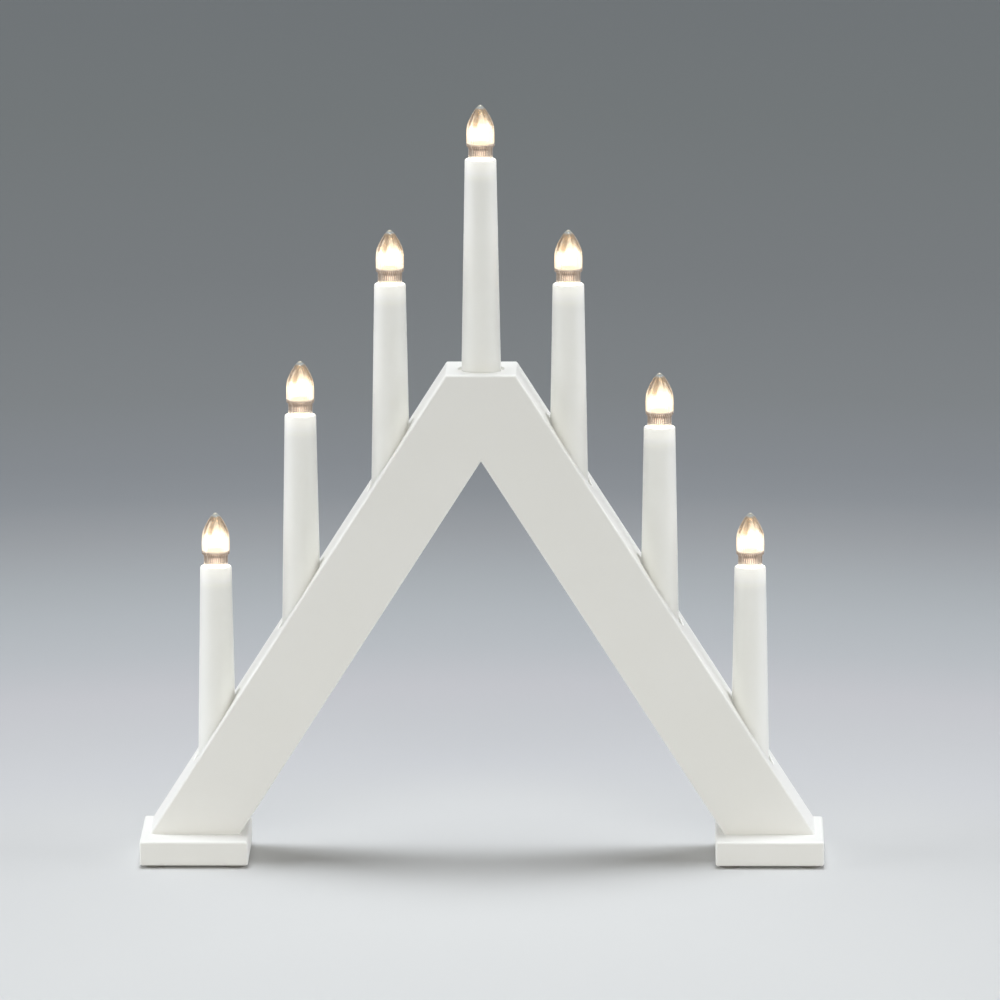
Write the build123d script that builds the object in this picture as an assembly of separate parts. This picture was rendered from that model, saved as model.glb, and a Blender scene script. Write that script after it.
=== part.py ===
from build123d import *
import math
import os

# Candle arch: two mitred wooden legs on foot blocks carry seven electric candles.
# Millimetres, +Z up, the front faces -Y.
# The origin lies on the standing surface, under the middle of the foot blocks.

# General clearances
cut_overrun = 5.0
slip_fit = 0.05
piece_gap = 0.2

# Arch frame
overall_width = 341.6
apex_height = 247.7
apex_flat_width = 35.0
leg_width = 38.2
leg_depth = 37.0
arris_radius = 1.2

# Foot blocks
foot_height = 12.5
foot_side_overhang = 4.4
foot_front_overhang = 16.0
foot_back_overhang = 3.0
foot_arris_radius = 1.3

# Pads under the foot blocks
pad_thickness = 1.2
pad_diameter = 11.0
pad_inset = 1.4

# Candle places, as shares of a leg's run and rise
candle_names = ("left_low", "left_mid", "left_high", "top", "right_high", "right_mid", "right_low")
left_run_shares = (0.775, 0.488, 0.186)
right_run_shares = (0.174, 0.478, 0.782)
seat_rise_shares = (0.072, 0.376, 0.685)
top_seat_depth = 10.9
left_mid_seat_lift = 6.0

# Drilled candle holes
recess_diameter = 23.0
recess_edge_radius = 0.5
recess_lip_depth = 2.5
top_recess_depth = 1.6
wire_hole_diameter = 10.0

# Candle sleeves
sleeve_length = 116.5
sleeve_top_diameter = 15.6
sleeve_taper_share = 0.0377
sleeve_wall = 1.2
sleeve_mouth_diameter = 13.3
sleeve_rim_radius = 0.7
sleeve_mouth_radius = 0.3
sleeve_ledge_diameter = 10.6
sleeve_ledge_thickness = 1.5

# Lamp glass
lamp_height = 27.2
lamp_diameter = 13.9
lamp_neck_diameter = 12.3
lamp_cone_height = 14.2
lamp_barrel_height = 6.4
lamp_shoulder_height = 0.9
lamp_neck_depth = 4.6
lamp_seal_height = 1.0
lamp_seal_diameter = 9.0
lamp_nipple_radius = 0.75
glass_wall = 0.5
cone_height_shares = (0.08, 0.157, 0.44, 0.72)
cone_radius_shares = (0.21, 0.375, 0.712, 0.945)
stem_diameter = 3.4
stem_height = 9.0

# Lamp filament
lead_diameter = 0.4
lead_spacing = 2.0
lead_spread = 5.4
lead_height = 7.5
filament_diameter = 0.6
filament_rise = 2.6

# Lamp cap
cap_diameter = 9.5
cap_root_diameter = 8.8
cap_collar_diameter = 9.9
cap_collar_height = 1.3
thread_pitch = 1.81
thread_turns = 4
cap_skirt_height = 0.9
insulator_height = 1.7
insulator_end_diameter = 4.6
contact_tip_diameter = 3.6
contact_tip_height = 0.8
cap_glass_overlap = 1.4

# Lamp holder
holder_base_thickness = 2.0
holder_lip = 0.7
shell_sheet = 0.3
shell_thread_depth = 0.35
shell_fit = 0.1
shell_tab_width = 3.0
spring_sheet = 0.4
spring_width = 3.0
spring_height = 2.7
spring_reach = 4.4
spring_foot_length = 1.5
contact_gap = 0.1

# Wiring
wire_diameter = 1.8
wire_lane_offset = 3.2
wire_lane_depth = 4.6
wire_bend_radius = 2.2
wire_hole_fit = 0.1
splice_diameter = 4.0
splice_length = 12.0
splice_grip = 8.0
end_splice_rise = 22.0
return_splice_rise = 62.0

# Wiring groove and its cover strips
groove_width = 12.0
groove_depth = 9.0
cover_width = 22.0
cover_thickness = 2.0
pocket_height = 6.0

# Cord entry in the back of the right leg
entry_rise = 35.0
entry_depth = 7.0
entry_diameter = 7.0
grommet_bore_diameter = 5.0
grommet_flange_diameter = 10.4
grommet_flange_thickness = 1.5
grommet_edge_radius = 0.5

# Fasteners
cover_screw_diameter = 2.2
cover_screw_head_diameter = 4.2
cover_screw_head_height = 1.1
cover_screw_length = 10.0
cover_screw_inset = 2.6
cover_screw_shares = (0.08, 0.36, 0.64, 0.92)
foot_screw_diameter = 3.5
foot_screw_head_diameter = 7.0
foot_screw_head_height = 2.4
foot_screw_length = 27.0
foot_screw_recess_diameter = 8.0
foot_screw_recess_depth = 4.5
foot_screw_spread = 21.0
foot_screw_run_share = 0.55
drive_slot_width = 0.8
drive_slot_depth = 0.7
drive_slot_share = 0.6
dowel_diameter = 6.0
dowel_length = 30.0
dowel_spread = 22.4
dowel_rise_share = 0.5
dowel_chamfer = 0.6

# Places worked out from the sizes above
foot_top = pad_thickness + foot_height
leg_rise = apex_height - foot_top
leg_run = overall_width / 2 - foot_side_overhang - apex_flat_width / 2
slope = math.atan2(leg_rise, leg_run)
leg_flat_width = leg_width / math.sin(slope)
foot_width = leg_flat_width + 2 * foot_side_overhang
foot_depth = leg_depth + foot_front_overhang + foot_back_overhang
leg_y = foot_front_overhang - foot_depth / 2 + leg_depth / 2
foot_x = (overall_width - foot_width) / 2
sleeve_foot_diameter = sleeve_top_diameter + sleeve_taper_share * sleeve_length
cap_length = cap_collar_height + thread_turns * thread_pitch + cap_skirt_height
cap_top = -lamp_neck_depth - lamp_seal_height
glass_floor = cap_top - cap_glass_overlap
stem_top = glass_floor + glass_wall + stem_height
cap_bottom = cap_top - cap_length
cap_tip = cap_bottom - insulator_height - contact_tip_height
holder_floor = cap_tip - contact_gap - spring_height
holder_bottom = holder_floor - holder_base_thickness
holder_top = cap_top - cap_collar_height - holder_lip
holder_diameter = sleeve_mouth_diameter - 2 * slip_fit
shell_inner_diameter = cap_diameter + 2 * shell_fit
shell_outer_diameter = shell_inner_diameter + 2 * (shell_thread_depth + shell_sheet)
shell_top = holder_top - piece_gap


def line_x(height, depth):
    """X of the line that lies `depth` inside the right leg's underside."""
    outer = apex_flat_width / 2 + (apex_height - height) * leg_run / leg_rise
    return outer - leg_flat_width + depth / math.sin(slope)


def line_z(x, depth):
    """Height of the line that lies `depth` inside the right leg's underside."""
    outer = apex_height - (x + leg_flat_width - apex_flat_width / 2) * leg_rise / leg_run
    return outer + depth / math.cos(slope)


def candle_places():
    """X and seat height of each candle, from left to right."""
    edge = apex_flat_width / 2
    seats = [foot_top + share * leg_rise for share in seat_rise_shares]
    left_lifts = (0, left_mid_seat_lift, 0)
    places = []
    for share, seat, lift in zip(left_run_shares, seats, left_lifts):
        places.append((-edge - share * leg_run, seat + lift))
    places.append((0, apex_height - top_seat_depth))
    for share, seat in zip(right_run_shares, reversed(seats)):
        places.append((edge + share * leg_run, seat))
    return places


def recess_floor(x):
    """Height of a wide recess's flat floor, just under the lower lip of its hole."""
    if x == 0:
        return apex_height - top_recess_depth
    return line_z(abs(x) + recess_diameter / 2, leg_width) - recess_lip_depth


def upright(diameter, bottom, top):
    """A plain round bar on the Z axis."""
    bar = Cylinder(diameter / 2, top - bottom, align=(Align.CENTER, Align.CENTER, Align.MIN))
    return Pos(0, 0, bottom) * bar


def prism(points, depth):
    """An outline in X and Z, extruded both ways from the legs' middle plane."""
    outline = make_face(Polyline(*[(x, 0, z) for x, z in points], close=True))
    return Pos(0, leg_y, 0) * extrude(outline, amount=depth / 2, both=True)


def both_sides(shape):
    """The shape and its mirror image across the middle of the arch."""
    return [shape, mirror(shape, about=Plane.YZ)]


def turned(points):
    """A body of revolution about Z from corner points of radius and height."""
    return revolve(make_face(Polyline(*[(r, 0, z) for r, z in points], close=True)), Axis.Z)


# Wooden frame


def strip_below(start_depth, end_depth, width, end_gap):
    """A bar along the right leg's underside, from the mitre to the foot block."""
    low = foot_top + end_gap
    corners = [
        (end_gap, line_z(end_gap, start_depth)),
        (end_gap, line_z(end_gap, end_depth)),
        (line_x(low, end_depth), low),
        (line_x(low, start_depth), low),
    ]
    return prism(corners, width)


def arch_blank():
    """The two legs before drilling, as one mitred outline with eased arrises."""
    edge = apex_flat_width / 2
    inner = line_x(foot_top, 0)
    outer = inner + leg_flat_width
    corners = [
        (-edge, apex_height),
        (edge, apex_height),
        (outer, foot_top),
        (inner, foot_top),
        (0, line_z(0, 0)),
        (-inner, foot_top),
        (-outer, foot_top),
    ]
    blank = prism(corners, leg_depth)
    faces = blank.faces().sort_by(Axis.Y)
    arrises = ShapeList(faces[0].edges() + faces[-1].edges())
    arrises = arrises.filter_by(lambda e: e.center().Z > foot_top + slip_fit)
    corners_on_top = blank.edges().filter_by(Axis.Y).filter_by(
        lambda e: e.center().Z > apex_height - slip_fit
    )
    return fillet(arrises + corners_on_top, arris_radius)


def ease_recess_rims(leg):
    """Rounds the upper edges of the wide recesses in one leg."""
    rims = leg.edges().filter_by(lambda e: e.length > recess_diameter)
    slope_rims = rims.filter_by(GeomType.ELLIPSE)
    top_rim = rims.filter_by(GeomType.CIRCLE).filter_by(
        lambda e: abs(e.center().Z - apex_height) < slip_fit
    )
    return fillet(slope_rims + top_rim, recess_edge_radius)


def entry_place():
    """Middle of the cord entry on the right leg's back face."""
    height = foot_top + entry_rise
    return line_x(height, entry_depth), leg_y + leg_depth / 2, height


def cover_screw_places():
    """Point on the right leg's underside and Y of each cover screw."""
    low_x = line_x(foot_top, 0)
    offset = cover_width / 2 - cover_screw_inset
    places = []
    for index, share in enumerate(cover_screw_shares):
        x = share * low_x
        side = 1 if index % 2 else -1
        places.append((x, leg_y + side * offset, line_z(x, 0)))
    return places


def underside_plane(place):
    """Plane on the right leg's underside whose normal points out of the wood."""
    return Plane(origin=place, z_dir=(-math.sin(slope), 0, -math.cos(slope)))


def foot_screw_places():
    """X and Y of the right foot's two screws."""
    x = line_x(foot_top, 0) + foot_screw_run_share * leg_flat_width
    return [(x, leg_y + side * foot_screw_spread / 2) for side in (-1, 1)]


def dowel_places():
    """Y and height of the two dowels that cross the mitre."""
    low = line_z(0, 0)
    height = low + dowel_rise_share * (apex_height - low)
    return [(leg_y + side * dowel_spread / 2, height) for side in (-1, 1)]


def wiring_cuts(side):
    """Groove, cover rebate and end pocket of one leg, drawn on the right."""
    low_x = abs(candle_places()[-1 if side > 0 else 0][0])
    cuts = [
        strip_below(-cut_overrun, groove_depth, groove_width, 0),
        strip_below(-cut_overrun, cover_thickness, cover_width, 0),
    ]
    pocket_top = foot_top + pocket_height
    pocket_end = low_x + wire_hole_diameter / 2
    pocket = [
        (line_x(foot_top, 0), foot_top),
        (line_x(pocket_top, 0), pocket_top),
        (pocket_end, pocket_top),
        (pocket_end, foot_top),
    ]
    cuts.append(prism(pocket, groove_width))
    return cuts


def fastener_cuts():
    """Pilot holes for the right leg's screws and the mitre dowels."""
    cuts = []
    for place in cover_screw_places():
        hole = upright(cover_screw_diameter + 2 * slip_fit, -cover_screw_length - piece_gap, cut_overrun)
        cuts.append(underside_plane(place).location * hole)
    for x, y in foot_screw_places():
        tip = pad_thickness + foot_screw_recess_depth + foot_screw_length + piece_gap
        hole = upright(foot_screw_diameter + 2 * slip_fit, foot_top - cut_overrun, tip)
        cuts.append(Pos(x, y, 0) * hole)
    for y, z in dowel_places():
        half = dowel_length / 2 + piece_gap
        hole = upright(dowel_diameter + 2 * slip_fit, 0, half)
        cuts.append(Pos(0, y, z) * Rot(0, 90, 0) * hole)
    return cuts


def cord_entry_cut():
    """Bore from the right leg's back face into the wiring groove."""
    x, y, z = entry_place()
    reach = leg_depth / 2 - groove_width / 2 + slip_fit
    bore = upright(entry_diameter, -reach, cut_overrun)
    return Pos(x, y, z) * Rot(-90, 0, 0) * bore


def build_legs():
    """Left and right leg, bored, parted at the mitre and then drilled and grooved."""
    wood = arch_blank()
    for x, seat in candle_places():
        wood -= Pos(x, leg_y, 0) * upright(recess_diameter, recess_floor(x), apex_height + cut_overrun)
    room = Box(overall_width, leg_depth + cut_overrun, apex_height + cut_overrun)
    legs = []
    for side in (-1, 1):
        leg = wood & (Pos(side * overall_width / 2, leg_y, apex_height / 2) * room)
        leg = ease_recess_rims(leg.solids()[0])
        for x, seat in candle_places():
            socket = upright(sleeve_foot_diameter + 2 * slip_fit, seat, recess_floor(x))
            wire_hole = upright(wire_hole_diameter, foot_top, seat)
            leg -= Pos(x, leg_y, 0) * (socket + wire_hole)
        for cut in wiring_cuts(side) + fastener_cuts():
            leg -= cut if side > 0 else mirror(cut, about=Plane.YZ)
        legs.append(leg)
    left, right = legs
    return left, right - cord_entry_cut()


def build_cover():
    """Thin strip that closes the right leg's wiring groove."""
    cover = strip_below(0, cover_thickness, cover_width - 2 * piece_gap, piece_gap)
    for place in cover_screw_places():
        hole = upright(cover_screw_diameter + 2 * slip_fit, -2 * cover_thickness, cut_overrun)
        sink = Cone(
            cover_screw_diameter / 2 + slip_fit,
            cover_screw_head_diameter / 2 + slip_fit,
            cover_screw_head_height,
            align=(Align.CENTER, Align.CENTER, Align.MAX),
        )
        cover -= underside_plane(place).location * (hole + sink)
    return cover


def build_foot():
    """Right foot block with its two screw recesses."""
    block = Pos(foot_x, 0, pad_thickness) * Box(
        foot_width, foot_depth, foot_height, align=(Align.CENTER, Align.CENTER, Align.MIN)
    )
    block = fillet(block.edges(), foot_arris_radius)
    for x, y in foot_screw_places():
        recess = upright(foot_screw_recess_diameter, 0, pad_thickness + foot_screw_recess_depth)
        hole = upright(foot_screw_diameter + 2 * slip_fit, 0, foot_top + cut_overrun)
        block -= Pos(x, y, 0) * (recess + hole)
    return block


def build_pads():
    """Four round pads under each foot block."""
    pad = upright(pad_diameter, 0, pad_thickness)
    across = foot_width / 2 - pad_inset - pad_diameter / 2
    along = foot_depth / 2 - pad_inset - pad_diameter / 2
    pads = []
    for side in (-1, 1):
        for x in (-across, across):
            for y in (-along, along):
                pads.append(Pos(side * foot_x + x, y, 0) * pad)
    return pads


# Fasteners


def drive_recess(head_diameter):
    """Cross slot cut down from the top of a screw head at height zero."""
    length = drive_slot_share * head_diameter
    slot = Box(length, drive_slot_width, 2 * drive_slot_depth)
    return slot + Rot(0, 0, 90) * slot


def cover_screw():
    """Countersunk screw, head top at height zero and point downwards."""
    head = cover_screw_head_diameter / 2
    shank = cover_screw_diameter / 2
    body = turned([
        (0, 0),
        (head, 0),
        (shank, -cover_screw_head_height),
        (shank, shank - cover_screw_length),
        (0, -cover_screw_length),
    ])
    return body - drive_recess(cover_screw_head_diameter)


def foot_screw():
    """Flat head screw, head at height zero and point downwards."""
    head = upright(foot_screw_head_diameter, -foot_screw_head_height, 0)
    head = fillet(head.edges().sort_by(Axis.Z)[-1], drive_slot_depth)
    shank = foot_screw_diameter / 2
    end = -foot_screw_head_height - foot_screw_length
    start = -foot_screw_head_height
    body = turned([(0, start), (shank, start), (shank, end + shank), (0, end)])
    return head + body - drive_recess(foot_screw_head_diameter)


def build_cover_screws():
    """All eight cover screws."""
    screws = []
    for place in cover_screw_places():
        screws += both_sides(underside_plane(place).location * cover_screw())
    return screws


def build_foot_screws():
    """Two screws up through each foot block into its leg."""
    head_level = pad_thickness + foot_screw_recess_depth - foot_screw_head_height
    screws = []
    for x, y in foot_screw_places():
        screws += both_sides(Pos(x, y, head_level) * Rot(180, 0, 0) * foot_screw())
    return screws


def build_dowels():
    """Two dowels glued across the mitre."""
    dowel = Rot(0, 90, 0) * Cylinder(dowel_diameter / 2, dowel_length)
    dowel = chamfer(dowel.edges().filter_by(GeomType.CIRCLE), dowel_chamfer)
    return [Pos(0, y, z) * dowel for y, z in dowel_places()]


def build_grommet():
    """Rubber grommet lining the cord entry."""
    x, y, z = entry_place()
    flange = upright(grommet_flange_diameter, 0, grommet_flange_thickness)
    flange = fillet(flange.edges().sort_by(Axis.Z)[-1], grommet_edge_radius)
    reach = leg_depth / 2 - groove_width / 2
    liner = upright(entry_diameter - 2 * slip_fit, -reach, 0)
    bore = upright(grommet_bore_diameter, -reach, grommet_flange_thickness)
    return Pos(x, y, z) * Rot(-90, 0, 0) * (flange + liner - bore)


# One candle, with height zero at the top of its sleeve


def sleeve_radius(height):
    """Outer radius of the sleeve at a height below its top."""
    return (sleeve_top_diameter - sleeve_taper_share * height) / 2


def build_sleeve():
    """Tapered candle tube with an inner ledge for the lamp holder."""
    bottom = -sleeve_length
    under_ledge = holder_bottom - sleeve_ledge_thickness
    sleeve = turned([
        (sleeve_mouth_diameter / 2, 0),
        (sleeve_radius(0), 0),
        (sleeve_radius(bottom), bottom),
        (sleeve_radius(bottom) - sleeve_wall, bottom),
        (sleeve_radius(under_ledge) - sleeve_wall, under_ledge),
        (sleeve_ledge_diameter / 2, under_ledge),
        (sleeve_ledge_diameter / 2, holder_bottom),
        (sleeve_mouth_diameter / 2, holder_bottom),
    ])
    top_rims = sleeve.edges().filter_by(lambda e: e.center().Z > -slip_fit).sort_by(SortBy.LENGTH)
    top_rims = top_rims.filter_by(GeomType.CIRCLE)
    sleeve = fillet(top_rims[-1], sleeve_rim_radius)
    rims = sleeve.edges().filter_by(GeomType.CIRCLE).filter_by(lambda e: e.center().Z > -slip_fit)
    return fillet(rims.sort_by(SortBy.LENGTH)[0], sleeve_mouth_radius)


def build_holder():
    """Insulating cup that holds the threaded shell and the contact spring."""
    body = upright(holder_diameter, holder_bottom, holder_top)
    body -= upright(shell_outer_diameter + 2 * slip_fit, holder_floor, holder_top + cut_overrun)
    for side in (-1, 1):
        hole = upright(wire_diameter + 2 * wire_hole_fit, holder_bottom - cut_overrun, holder_floor)
        body -= Pos(0, side * wire_lane_offset, 0) * hole
    return body


def thread_wave(crest, root, top):
    """Crest and root points of a rolled thread, going down from `top`."""
    points = []
    for turn in range(thread_turns):
        start = top - turn * thread_pitch
        points.append((root, start))
        points.append((crest, start - thread_pitch / 2))
    points.append((root, top - thread_turns * thread_pitch))
    return points


def build_shell():
    """Threaded brass shell with the tab that its wire is joined to."""
    crest = shell_inner_diameter / 2
    root = crest + shell_thread_depth
    inner = [(root, shell_top)] + thread_wave(crest, root, cap_top - cap_collar_height - thread_pitch)
    inner = [(r, z) for r, z in inner if z > holder_floor] + [(root, holder_floor)]
    outer = [(r + shell_sheet, z) for r, z in reversed(inner)]
    shell = turned(inner + outer)
    tab = Box(
        shell_tab_width,
        root - wire_lane_offset + wire_diameter,
        shell_sheet,
        align=(Align.CENTER, Align.MAX, Align.MIN),
    )
    return shell + Pos(0, -wire_lane_offset + wire_diameter, holder_floor) * tab


def build_spring():
    """Bent strip under the lamp's end contact."""
    top = cap_tip - contact_gap
    foot_end = spring_reach - spring_foot_length
    points = [
        (spring_reach, holder_floor),
        (spring_reach, holder_floor + spring_sheet),
        (foot_end, holder_floor + spring_sheet),
        (contact_tip_diameter / 2, top),
        (-contact_tip_diameter / 2, top),
        (-contact_tip_diameter / 2, top - spring_sheet),
        (contact_tip_diameter / 2 - spring_sheet, top - spring_sheet),
        (foot_end - spring_sheet, holder_floor),
    ]
    outline = make_face(Polyline(*[(0, y, z) for y, z in points], close=True))
    return extrude(outline, amount=spring_width / 2, both=True)


def glass_outline(inset):
    """Half outline of the lamp glass, `inset` inside its outer surface."""
    radius = lamp_diameter / 2
    cone = []
    for height_share, radius_share in zip(cone_height_shares, cone_radius_shares):
        cone.append((radius_share * radius - inset, lamp_height - height_share * lamp_cone_height))
    cone_foot = (radius - inset, lamp_height - lamp_cone_height)
    barrel_foot = (radius - inset, cone_foot[1] - lamp_barrel_height)
    neck = lamp_neck_diameter / 2 - inset
    neck_top = (neck, barrel_foot[1] - lamp_shoulder_height)
    neck_foot = (neck, -lamp_neck_depth)
    seal = lamp_seal_diameter / 2 - inset
    floor = glass_floor + inset
    tip = lamp_height - 2 * inset
    start_r, start_z = cone[0]
    points = [Vector(r, 0, z) for r, z in cone + [cone_foot]]
    bulge = lamp_nipple_radius / 4
    middle = (start_r / 2 + bulge, 0, (tip + start_z) / 2 + bulge)
    nipple = ThreePointArc((0, 0, tip), middle, points[0])
    curve = Spline(*points, tangents=[(start_r, 0, -start_r), (0, 0, -radius)])
    straight = Polyline(
        points[-1],
        (barrel_foot[0], 0, barrel_foot[1]),
        (neck_top[0], 0, neck_top[1]),
        (neck_foot[0], 0, neck_foot[1]),
        (seal, 0, cap_top),
        (seal, 0, floor),
        (0, 0, floor),
        (0, 0, tip),
    )
    return make_face([nipple, curve, straight])


def build_glass():
    """Lamp glass with its inner stem."""
    outer = revolve(glass_outline(0), Axis.Z)
    inner = revolve(glass_outline(glass_wall), Axis.Z)
    stem = upright(stem_diameter, glass_floor + glass_wall / 2, stem_top)
    return outer - inner + stem


def build_filament():
    """Two lead wires from the stem and the arched filament between them."""
    low = stem_top
    high = stem_top + lead_height
    path_points = [
        (-lead_spacing / 2, 0, low),
        (-lead_spread / 2, 0, high),
        (lead_spread / 2, 0, high),
        (lead_spacing / 2, 0, low),
    ]
    pieces = []
    for start, end in ((0, 1), (3, 2)):
        lead = Line(path_points[start], path_points[end])
        pieces.append(sweep(Plane(origin=lead @ 0, z_dir=lead % 0) * Circle(lead_diameter / 2), path=lead))
    arch = ThreePointArc(path_points[1], (0, 0, high + filament_rise), path_points[2])
    coil = sweep(Plane(origin=arch @ 0, z_dir=arch % 0) * Circle(filament_diameter / 2), path=arch)
    return pieces[0] + pieces[1] + coil


def build_cap():
    """Screw cap with its insulator and end contact."""
    collar = cap_collar_diameter / 2
    crest = cap_diameter / 2
    root = cap_root_diameter / 2
    seat = lamp_seal_diameter / 2 + slip_fit
    points = [(0, glass_floor), (seat, glass_floor), (seat, cap_top)]
    points += [(collar, cap_top), (collar, cap_top - cap_collar_height)]
    points += thread_wave(crest, root, cap_top - cap_collar_height)
    points += [
        (root, cap_bottom),
        (insulator_end_diameter / 2, cap_bottom - insulator_height),
        (contact_tip_diameter / 2, cap_bottom - insulator_height),
        (contact_tip_diameter / 2 - contact_tip_height / 2, cap_tip),
        (0, cap_tip),
    ]
    return turned(points)


# Wiring


def wire(points, radii):
    """A wire through the given points with round bends."""
    path = FilletPolyline(*points, radius=radii)
    section = Plane(origin=path @ 0, z_dir=path % 0) * Circle(wire_diameter / 2)
    return sweep(section, path=path)


def candle_drop(index, y):
    """Points of a wire from a lamp holder down to its lane in the groove."""
    x, seat = candle_places()[index]
    top = (x, y, seat + sleeve_length + holder_floor)
    side = 1 if x > 0 else -1
    if index in (0, len(candle_names) - 1):
        lane = line_z(abs(x) - 2 * wire_bend_radius, wire_lane_depth)
        level = max(foot_top + pocket_height / 2, lane)
        return [top, (x, y, level), (side * line_x(level, wire_lane_depth), y, level)]
    return [top, (x, y, line_z(abs(x), wire_lane_depth))]


def build_link_wires():
    """Six wires that join each candle to the next one."""
    wires = []
    for index in range(len(candle_names) - 1):
        y = leg_y + wire_lane_offset * (1 if index % 2 == 0 else -1)
        points = candle_drop(index, y) + candle_drop(index + 1, y)[::-1]
        wires.append(wire(points, wire_bend_radius))
    return wires


def splice_point(rise, y):
    """Point in the right leg's groove at a height above the foot block."""
    height = foot_top + rise
    return (line_x(height, wire_lane_depth), y, height)


def build_supply_wires():
    """End wire of the last candle and return wire of the first one."""
    front = leg_y + wire_lane_offset
    back = leg_y - wire_lane_offset
    last = len(candle_names) - 1
    end_points = candle_drop(last, front) + [splice_point(end_splice_rise, front)]
    first = candle_drop(0, back)
    level = first[-1][2] + 2 * pocket_height
    crossing = (-line_x(level, wire_lane_depth), leg_y, level)
    apex = (0, leg_y, line_z(0, wire_lane_depth))
    return_points = first + [crossing, apex, splice_point(return_splice_rise, leg_y)]
    return [
        wire(end_points, wire_bend_radius),
        wire(return_points, wire_bend_radius),
    ]


def build_splices():
    """Closed crimp caps on the ends of the two supply wires."""
    up = Vector(-math.cos(slope), 0, math.sin(slope))
    splices = []
    ends = (
        (splice_point(end_splice_rise, leg_y + wire_lane_offset), up),
        (splice_point(return_splice_rise, leg_y), -up),
    )
    for end, direction in ends:
        cap = upright(splice_diameter, -splice_grip, splice_length - splice_grip)
        cap = fillet(cap.edges().sort_by(Axis.Z)[-1], splice_diameter / 4)
        cap -= upright(wire_diameter + 2 * slip_fit, -splice_grip, 0)
        splices.append(Plane(origin=end, z_dir=direction).location * cap)
    return splices


def write(name, shapes):
    """Writes one node's solids to its own file."""
    solids = []
    for shape in shapes if isinstance(shapes, list) else [shapes]:
        solids += shape.solids()
    whole = solids[0] if len(solids) == 1 else Compound(children=solids)
    export_step(whole, f"parts/{name}.step")


def main():
    os.makedirs("parts", exist_ok=True)
    left_leg, right_leg = build_legs()
    write("left_leg", left_leg)
    write("right_leg", right_leg)
    write("mitre_dowels", build_dowels())
    for side, cover in zip(("right", "left"), both_sides(build_cover())):
        write(f"{side}_groove_cover", cover)
    for side, foot in zip(("right", "left"), both_sides(build_foot())):
        write(f"{side}_foot", foot)
    write("foot_pads", build_pads())
    write("cover_screws", build_cover_screws())
    write("foot_screws", build_foot_screws())
    write("cord_grommet", build_grommet())
    write("link_wires", build_link_wires())
    write("supply_wires", build_supply_wires())
    write("wire_splices", build_splices())
    pieces = {
        "sleeve": build_sleeve(),
        "holder": build_holder(),
        "holder_shell": build_shell(),
        "lamp_glass": build_glass(),
        "lamp_cap": build_cap(),
        "lamp_filament": build_filament(),
    }
    spring = build_spring()
    springs = []
    for name, (x, seat) in zip(candle_names, candle_places()):
        place = Pos(x, leg_y, seat + sleeve_length)
        springs.append(place * spring)
        for kind, piece in pieces.items():
            write(f"{kind}_{name}", place * piece)
    write("holder_springs", springs)


main()
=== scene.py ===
"""Looks of the candle arch: white painted legs, moulded candles and seven lit, fluted lamps."""

import math

import bmesh
import bpy
from mathutils import Matrix, Vector


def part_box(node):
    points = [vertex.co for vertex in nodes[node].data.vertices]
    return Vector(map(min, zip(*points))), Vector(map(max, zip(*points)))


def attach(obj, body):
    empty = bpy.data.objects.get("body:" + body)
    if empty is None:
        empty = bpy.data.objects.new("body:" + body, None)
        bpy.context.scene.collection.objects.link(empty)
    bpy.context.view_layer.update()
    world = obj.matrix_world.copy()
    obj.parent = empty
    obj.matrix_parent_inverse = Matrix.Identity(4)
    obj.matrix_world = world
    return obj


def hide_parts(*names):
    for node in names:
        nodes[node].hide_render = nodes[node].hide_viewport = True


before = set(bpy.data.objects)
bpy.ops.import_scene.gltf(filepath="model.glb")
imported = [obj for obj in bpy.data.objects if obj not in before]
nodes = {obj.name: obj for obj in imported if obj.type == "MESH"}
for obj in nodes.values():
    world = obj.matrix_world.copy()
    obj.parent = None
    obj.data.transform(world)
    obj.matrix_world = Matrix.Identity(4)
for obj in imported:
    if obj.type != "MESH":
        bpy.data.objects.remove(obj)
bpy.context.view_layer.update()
scene = bpy.context.scene

MM = 0.001
PLACES = ("left_low", "left_mid", "left_high", "top", "right_high", "right_mid", "right_low")
LEG_SLOPE = math.radians(57.53)

# Counts of the lamp, and its sizes in millimetres; heights are above the top of the candle sleeve
LAMP_HEIGHT = 27.2
FLUTE_COUNT = 40
FLUTE_DEPTH = 0.35
THREAD_PITCH = 1.81
THREAD_DEPTH = 0.36
STEM_PINCH = 0.75
MERGE_DISTANCE = 0.002
COIL_TURNS = 26
COIL_STEPS_A_TURN = 12
COIL_RADIUS = 0.24
COIL_WIRE_RADIUS = 0.06
COIL_ARCH_RADIUS = 2.7
COIL_ARCH_FOOT = 9.95
LEAD_RADIUS = 0.16

# Where painted light and painted shade show on the lamp glass and stem, in millimetres above the top of
# the sleeve
WELL_UNDER = -20
SLEEVE_GLOW_FOOT = -1.6
NECK_FOOT = 1.2
INNER_NECK_FOOT = 1.0
PAINTED_SHADE_FOOT = 1.8
DARK_PAINTED_SHADE_FOOT = 5.0
PAINTED_SHADE_TOP = 7.4
DARK_PAINTED_SHADE_TOP = 7.6
NECK_TOP = 7.9
INNER_NECK_TOP = 8.1
INNER_CONE_FOOT = 15.0
PAINTED_STREAK_FOOT = 17.0
INNER_TIP_FOOT = 24.8
PAINTED_STREAK_TOP = 25.4
NIPPLE_FOOT = 25.6
WELL_OVER = 40
STEM_SPOT_FOOT = 1.6
STEM_SPOT_TOP = 4.0
STEM_SPOT_STRENGTH = 2.6

# Bright lobes of the lit cone: how many, how far they are turned, the heights between which they
# narrow, how strong and how wide they are, how much they lose upwards, and how ragged they are
LOBES = 3
LOBE_TURN = math.radians(74)
LOBE_FOOT = 14.5
LOBE_TOP = 25.0
LOBE_SWING = 0.5
LOBE_BIAS = 0.2
LOBE_LOSS = 1.15
RAGGEDNESS = 0.6
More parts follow.
